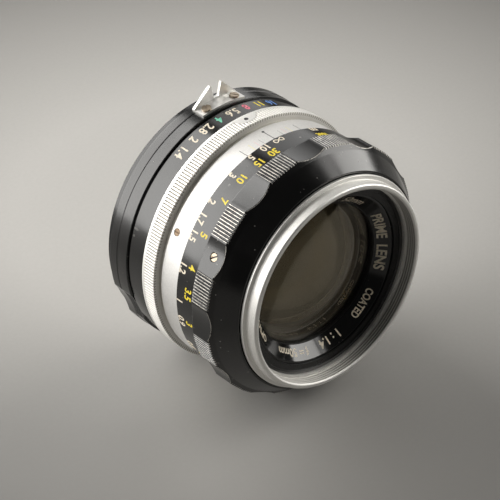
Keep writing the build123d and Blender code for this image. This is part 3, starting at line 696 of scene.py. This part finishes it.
def depth_lines(name, angles, half_width, start_z, mat):
    """Filled lines on the band, from start_z to the focus ring."""
    turn = math.degrees(half_width / DEPTH_R)
    parts = [wrapped_patch(a - turn, a + turn, start_z, LINES_END_Z, DEPTH_R) for a in angles]
    stand_for(joined(name, parts, mat), "root", "satin_silver")


depth_lines("index_line", (0.0,), 0.10, 22.7, DARK)
round_dot("index_line_dot", 0.0, 22.6, DEPTH_R, 0.36)
depth_lines("depth_line_outer", (-15.5, 15.5), 0.07, 23.7, DARK)
depth_lines("depth_line_yellow", (-10.7, 10.7), 0.07, 23.9, PALE_YELLOW)
depth_lines("depth_line_red", (-7.7, 7.7), 0.06, 24.1, PALE_RED)
depth_lines("depth_line_grey", (-5.4, 5.4), 0.05, 24.3, GREY)
depth_lines("depth_line_green", (-3.9, 3.9), 0.05, 24.5, PALE_GREEN)


# ---- focus scale -----------------------------------------------------------------------
# each label with its angle while the ring is at rest
METRES = [
    ("10", 7.5), ("5", 15.5), ("3", 27.0), ("2", 41.0), ("1.7", 49.0), ("1.5", 57.0),
    ("1.2", 71.9), ("1", 87.8), ("0.9", 98.8), ("0.8", 115.0), ("0.7", 135.0), ("0.6", 159.0),
]
FEET = [
    ("30", 7.5), ("15", 15.5), ("10", 26.0), ("7", 38.0), ("5", 54.7), ("4", 69.8),
    ("3.5", 82.4), ("3", 98.0), ("2.5", 121.0), ("2.25", 138.0), ("2", 158.0),
]
parts = [on_barrel(text, angle, 28.25, BAND_R, 2.1, 0.88) for text, angle in METRES]
parts.append(on_barrel("m", -21, 28.2, BAND_R, 2.1, 1.1))
stand_for(joined("metre_scale", parts, CREAM), "focus_ring", "black_paint")
parts = [on_barrel(text, angle, 31.1, BAND_R, 2.25, 0.88) for text, angle in FEET]
parts.append(on_barrel("feet", -21, 31.1, BAND_R, 1.8, 0.9))
stand_for(joined("feet_scale", parts, YELLOW), "focus_ring", "black_paint")


def infinity_mark():
    """The infinity sign as a closed ribbon, at the index line when the ring is at rest."""
    n, size, half = 48, 1.35, 0.13
    t = np.arange(n) * 2 * math.pi / n
    u = size * np.cos(t)
    v = size * 0.48 * np.sin(2 * t)
    du, dv = -np.sin(t) * size, size * 0.96 * np.cos(2 * t)
    length = np.hypot(du, dv)
    side_u, side_v = -dv / length * half, du / length * half
    rows = []
    for s, lift in ((-1, -0.04), (-1, 0.02), (1, 0.02), (1, -0.04)):
        rows.append(spot(np.degrees((u + s * side_u) / BAND_R), BAND_R + lift, 28.2 + v + s * side_v))
    points = np.stack(rows, 1).reshape(-1, 3)
    faces = []
    for i in range(n):
        for j in range(4):
            k, i2 = (j + 1) % 4, (i + 1) % n
            faces.append((i * 4 + j, i2 * 4 + j, i2 * 4 + k, i * 4 + k))
    stand_for(joined("infinity_mark", [(points, faces)], CREAM), "focus_ring", "black_paint")


infinity_mark()


# ---- aperture ring ---------------------------------------------------------------------
AP_R, AP_BAND_R = 33.0, 32.4
GRIP_ANGLE, GRIP_HALF = 112, 13.5    # two finger scoops, in degrees either side of the index line
GRIP_CENTRE, GRIP_R = 62.1, 30.0
RIDGE_PITCH, RIDGE_DEPTH = 0.8, 0.12   # degrees from one ridge of a scoop to the next, and depth


def aperture_ring():
    corners = [
        (30.45, 3.0), (AP_R, 3.0), (AP_R, 5.5), (AP_R - 0.1, 5.56), (AP_R - 0.1, 9.05),
        (31.9, 9.2), (AP_BAND_R, 9.6), (AP_BAND_R, 15.0), (30.45, 15.0),
    ]
    outline = dense(eased(corners, 0.05), 3.05, 9.1, 0.25)
    reach = 14   # degrees either side of a scoop's middle that have fine steps
    coarse = [a for a in np.arange(0, 360, RING_STEP)
              if abs(abs((a + 180) % 360 - 180) - GRIP_ANGLE) > reach]
    fine = [s * GRIP_ANGLE + d for s in (1, -1) for d in np.arange(-reach, reach + 0.01, 0.1)]
    angles = np.array(sorted(set(round(a % 360, 3) for a in coarse + fine)))
    off = np.radians(np.abs((angles + 180) % 360 - 180) - GRIP_ANGLE)
    scoop = scooped(off, GRIP_CENTRE, GRIP_R)
    scoop = np.where(np.abs(off) < math.radians(GRIP_HALF), scoop, NO_CUT)[:, None]
    r, z = outline[:, 0][None, :], outline[:, 1][None, :]
    inside = (r > 32.2) & (z < 9.3)
    new_r = np.minimum(r, np.where(inside, scoop, NO_CUT))
    teeth = 0.5 + 0.5 * np.cos(np.degrees(off) * 2 * math.pi / RIDGE_PITCH)[:, None]
    ends = np.clip((z - 5.9) / 0.2, 0, 1) * np.clip((8.9 - z) / 0.2, 0, 1)
    ridged = inside * (scoop < AP_R - 0.25) * ends
    new_r = new_r - RIDGE_DEPTH * teeth * ridged
    prof = np.stack([new_r, np.broadcast_to(z, new_r.shape)], -1)
    obj = ring("aperture_grip", prof, ENAMEL, angles, smooth_deg=40)
    stand_for(obj, "aperture_ring", "black_paint", "aperture_ring")


aperture_ring()
for name, mat, marks in (
    ("cream", CREAM, [("1.4", 30.0), ("2", 22.5), ("2.8", 15.0), ("5.6", 0.0)]),
    ("green", GREEN, [("4", 7.5)]), ("red", RED, [("8", -7.5)]),
    ("yellow", YELLOW, [("11", -15.0)]), ("blue", BLUE, [("16", -22.5)]),
):
    parts = [on_barrel(text, angle, 11.8, AP_BAND_R, 2.6, 0.8) for text, angle in marks]
    stand_for(joined(f"aperture_scale_{name}", parts, mat), "aperture_ring", "black_paint")


def meter_fork():
    """The CAD fork with its edges broken."""
    edge_deg = 35
    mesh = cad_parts["coupling_fork"].data.copy()
    mesh.name = "meter_fork"
    mesh.materials.clear()
    mesh.materials.append(CHROME)
    bm = bmesh.new()
    bm.from_mesh(mesh)
    bmesh.ops.remove_doubles(bm, verts=bm.verts, dist=2e-7)
    bmesh.ops.dissolve_limit(bm, angle_limit=math.radians(0.4), verts=bm.verts, edges=bm.edges)
    bm.to_mesh(mesh)
    bm.free()
    obj = linked("meter_fork", mesh)
    mod = obj.modifiers.new("edges", "BEVEL")
    mod.width = 0.07 * MM
    mod.segments = 2
    mod.limit_method = "ANGLE"
    mod.angle_limit = math.radians(edge_deg)
    mod.harden_normals = True
    mesh.shade_smooth()
    mesh.set_sharp_from_angle(angle=math.radians(edge_deg))
    stand_for(obj, "aperture_ring", "chrome", "coupling_fork")


meter_fork()


# ---- front -----------------------------------------------------------------------------
DISH = ((21.95, 44.4), (18.9, 41.35))   # outer and inner edge of the dished name ring
THREAD_R, THREAD_ROOT_R, THREAD_PITCH, THREAD_TURNS = 25.60, 25.98, 0.7, 4


def on_dish(text, angle, height, spread, width, bold):
    """Lettering on the dished name ring, read clockwise, its top outwards."""
    points, faces = lettering(text, height, width, bold)
    lift, sink = 0.015, 0.04
    slope = math.atan2(DISH[0][1] - DISH[1][1], DISH[0][0] - DISH[1][0])
    r_mid, z_mid = (DISH[0][0] + DISH[1][0]) / 2, (DISH[0][1] + DISH[1][1]) / 2
    up = points[:, 1]
    out = -sink + (lift + sink) * points[:, 2]
    radius = r_mid + up * math.cos(slope) - out * math.sin(slope)
    z = z_mid + up * math.sin(slope) + out * math.cos(slope)
    return spot(angle - np.degrees(points[:, 0] * spread / r_mid), radius, z), faces


def filter_ring():
    """The silver ring with the filter thread inside, and shade painted into the thread."""
    corners = [
        (25.06, 45.0), (26.9, 45.0), (26.9, 45.45), (28.13, 45.45), (28.13, 46.1), (28.03, 46.2),
        (27.1, 46.25), (27.0, 48.9), (26.75, 49.18), (26.35, 49.24), (26.0, 49.25), (25.72, 49.05),
    ]
    z = 48.95
    for _ in range(THREAD_TURNS):
        corners += [(THREAD_R, z), (THREAD_R, z - 0.16), (THREAD_ROOT_R, z - 0.40), (THREAD_R, z - 0.64)]
        z -= THREAD_PITCH
    corners += [(THREAD_R, 46.02), (25.06, 46.02)]
    outline = eased(corners, 0.04, 2)
    r, z = outline[:, 0], outline[:, 1]
    bore = (r < 26.0) * (z > 46.05) * (z < 48.99)
    # painted shade: the bore is darkened, most towards the roots of the thread
    painted_shade = bore * np.clip(0.3 + (r - THREAD_R) / 0.35, 0, 0.9)
    angles = np.arange(0, 360, FINE_STEP)
    painted_shade = np.broadcast_to(painted_shade, (len(angles), len(painted_shade)))
    obj = ring("filter_thread_ring", outline, BRIGHT, angles, painted_shade, smooth_deg=50)
    stand_for(obj, "lens_block", "satin_silver", "filter_ring")


filter_ring()
obj = ring("front_tube", eased([
    (25.2, 34.0), (26.9, 34.0), (26.9, 45.0), (24.2, 45.0), (24.2, 44.7), (22.6, 44.7), (22.6, 41.25),
    (21.5, 41.25), (21.5, 37.0), (23.0, 37.0), (23.0, 39.6), (25.2, 39.6)], 0.06), SATIN_BLACK)
stand_for(obj, "lens_block", "black_inside", "front_barrel")
obj = ring("name_dish", eased([
    DISH[1], (18.95, 41.25), (22.55, 41.25), (22.55, 44.4), DISH[0]], 0.05), GLOSS_BLACK,
    np.arange(0, 360, FINE_STEP))
stand_for(obj, "lens_block", "gloss_black", "name_ring")
obj = ring("front_retainer", eased([
    (18.55, 40.27), (18.95, 40.27), (18.95, 39.25), (20.0, 39.25), (20.0, 41.2), (18.75, 41.2)],
    0.05), SATIN_BLACK)
stand_for(obj, "lens_block", "black_inside", "front_retaining_ring")
parts = [
    on_dish("PRIME  LENS", 274, 2.7, 1.10, 0.80, 0.09), on_dish("52mm", 328, 2.3, 1.2, 0.8, 0.07),
    on_dish("COATED", 223, 2.0, 1.0, 0.75, 0.07), on_dish("1 : 1.4", 188, 2.3, 1.1, 0.8, 0.07),
    on_dish("f = 50mm", 152, 2.2, 1.15, 0.8, 0.06), on_dish("OPTICS", 107, 2.0, 1.1, 0.8, 0.06),
]
stand_for(joined("name_lettering", parts, CREAM), "lens_block", "gloss_black")


# ---- glass -----------------------------------------------------------------------------
POLE_R = 0.02   # a tiny flat closes each face on the axis


def lens_solid(name, front, rear, rim_r, mat, nodes, clear_front=None, clear_rear=None):
    """A glass with fine spherical faces. Each face is its z on the axis and its radius, which is
    positive if it bulges towards the front. A clear radius is where a flat rim begins."""
    def face(vertex, radius, clear):
        out = []
        for r in np.linspace(POLE_R, clear, 60):
            sag = abs(radius) - math.sqrt(radius * radius - r * r)
            out.append((r, vertex - sag if radius > 0 else vertex + sag))
        return out
    top = face(*front, clear_front or rim_r)
    bottom = face(*rear, clear_rear or rim_r)
    if clear_front:
        top.append((rim_r, top[-1][1]))
    if clear_rear:
        bottom.append((rim_r, bottom[-1][1]))
    outline = np.array(bottom + top[::-1])
    angles = np.arange(0, 360, 2.5)
    n, m = len(outline), len(angles)
    points = spot(angles[:, None], outline[:, 0], outline[:, 1]).reshape(-1, 3)
    i, j = np.meshgrid(np.arange(m), np.arange(n - 1), indexing="ij")
    i2 = (i + 1) % m
    quads = np.stack([i * n + j, i2 * n + j, i2 * n + j + 1, i * n + j + 1], -1).reshape(-1, 4)
    poles = [tuple(range(0, m * n, n))[::-1], tuple(range(n - 1, m * n, n))]
    obj = joined(name, [(points, quads.tolist() + poles)], mat)
    obj.data.shade_smooth()
    obj.data.set_sharp_from_angle(angle=math.radians(30))
    stand_for(obj, "lens_block", "coated_glass", *nodes)


lens_solid("front_glass", (44.6, 41.5), (39.0, 130.0), 18.9, GLASS_FRONT, ["element_1"])
lens_solid("front_doublet", (38.5, 23.5), (29.5, 15.6), 15.8, GLASS_INNER,
           ["element_2", "element_3"], clear_rear=12.5)
lens_solid("rear_doublet", (13.0, -16.4), (3.2, -22.0), 13.0, GLASS_REAR,
           ["element_4", "element_5"], clear_front=12.0)


# ---- floor, light, camera --------------------------------------------------------------
FLOOR_Z = -0.03322           # the lens lies on the edges of two hills of the focus ring
FLOOR_SIZE = 3.0
LIGHT_POOL_CENTRE = (0.035, 0.035)   # centre of the pool of light painted into the floor's colour


def floor():
    g = Graph("floor_paper")
    place = g.place()
    grain = g.noise(place, 900.0, 4.0)
    tone = g.mix(grain, (0.435, 0.424, 0.404), (0.475, 0.463, 0.442))
    xyz = g.add("SeparateXYZ", Vector=place).outputs
    light_pool_distance = g.length(g.math("SUBTRACT", xyz[0], LIGHT_POOL_CENTRE[0]),
                   g.math("SUBTRACT", xyz[1], LIGHT_POOL_CENTRE[1]))
    # painted light: the floor's colour darkens away from its palest spot, a pool of light and its
    # falloff painted in
    tone = g.mix(g.ramp(light_pool_distance, (0.06, 0.0), (0.145, 1.0)), tone, (0.19, 0.184, 0.174))
    g.surface(Base_Color=tone, Roughness=0.7, Normal=g.bump(grain, 0.00002, 0.3))
    mesh = bpy.data.meshes.new("floor")
    corners = [(x * FLOOR_SIZE, y * FLOOR_SIZE, FLOOR_Z)
               for x, y in ((-1, -1), (1, -1), (1, 1), (-1, 1))]
    mesh.from_pydata(corners, [], [(0, 1, 2, 3)])
    mesh.materials.append(g.mat)
    obj = linked("floor", mesh)


floor()


def panel(name, centre, facing, width, height, radiance, tone):
    """An upright soft box of an even radiance, seen in the gloss of the black paint."""
    data = bpy.data.lights.new(name, "AREA")
    data.shape = "RECTANGLE"
    data.size, data.size_y = width, height
    data.energy = radiance * math.pi * width * height
    data.color = tone
    lamp = linked(name, data)
    lamp.location = centre
    lamp.rotation_mode = "QUATERNION"
    lamp.rotation_quaternion = Vector(facing).to_track_quat("-Z", "Y")


panel("key_box", (-0.43, 0.60, 0.42), (0, -1, 0), 1.14, 0.86, 5.3, (1.0, 0.985, 0.955))
panel("back_box", (0.58, 0.60, 0.45), (0, -1, 0), 0.6, 0.6, 1.4, (1.0, 0.99, 0.97))
panel("left_box", (-0.75, 0.15, 0.33), (1, 0, 0), 0.6, 0.6, 2.5, (1.0, 0.99, 0.97))
panel("side_box", (1.0, -0.475, 0.485), (-1, 0, 0), 1.15, 0.69, 4.8, (1.0, 0.98, 0.94))
panel("side_top_box", (1.0, -0.65, 1.08), (-1, 0, 0), 1.1, 0.36, 2.6, (1.0, 0.98, 0.94))

world = bpy.data.worlds.new("studio")
world.use_nodes = True
world.node_tree.nodes["Background"].inputs[0].default_value = (0.30, 0.295, 0.285, 1)
world.node_tree.nodes["Background"].inputs[1].default_value = 0.12
bpy.context.scene.world = world

camera = linked("camera", bpy.data.cameras.new("camera"))
camera.data.lens = 158.4
camera.data.sensor_width = 36.0
camera.data.clip_start = 0.01
place = Vector((-0.29142, -0.35662, 0.30951))
back = Vector((-0.53236, -0.62084, 0.57546))   # away from what the camera looks at
up = Vector((0.39402, 0.41993, 0.81756))
right = up.cross(back).normalized()
up = back.cross(right).normalized()
camera.matrix_world = Matrix((
    (right.x, up.x, back.x, place.x), (right.y, up.y, back.y, place.y),
    (right.z, up.z, back.z, place.z), (0, 0, 0, 1),
))
bpy.context.scene.camera = camera
bpy.context.scene.view_settings.view_transform = "Standard"
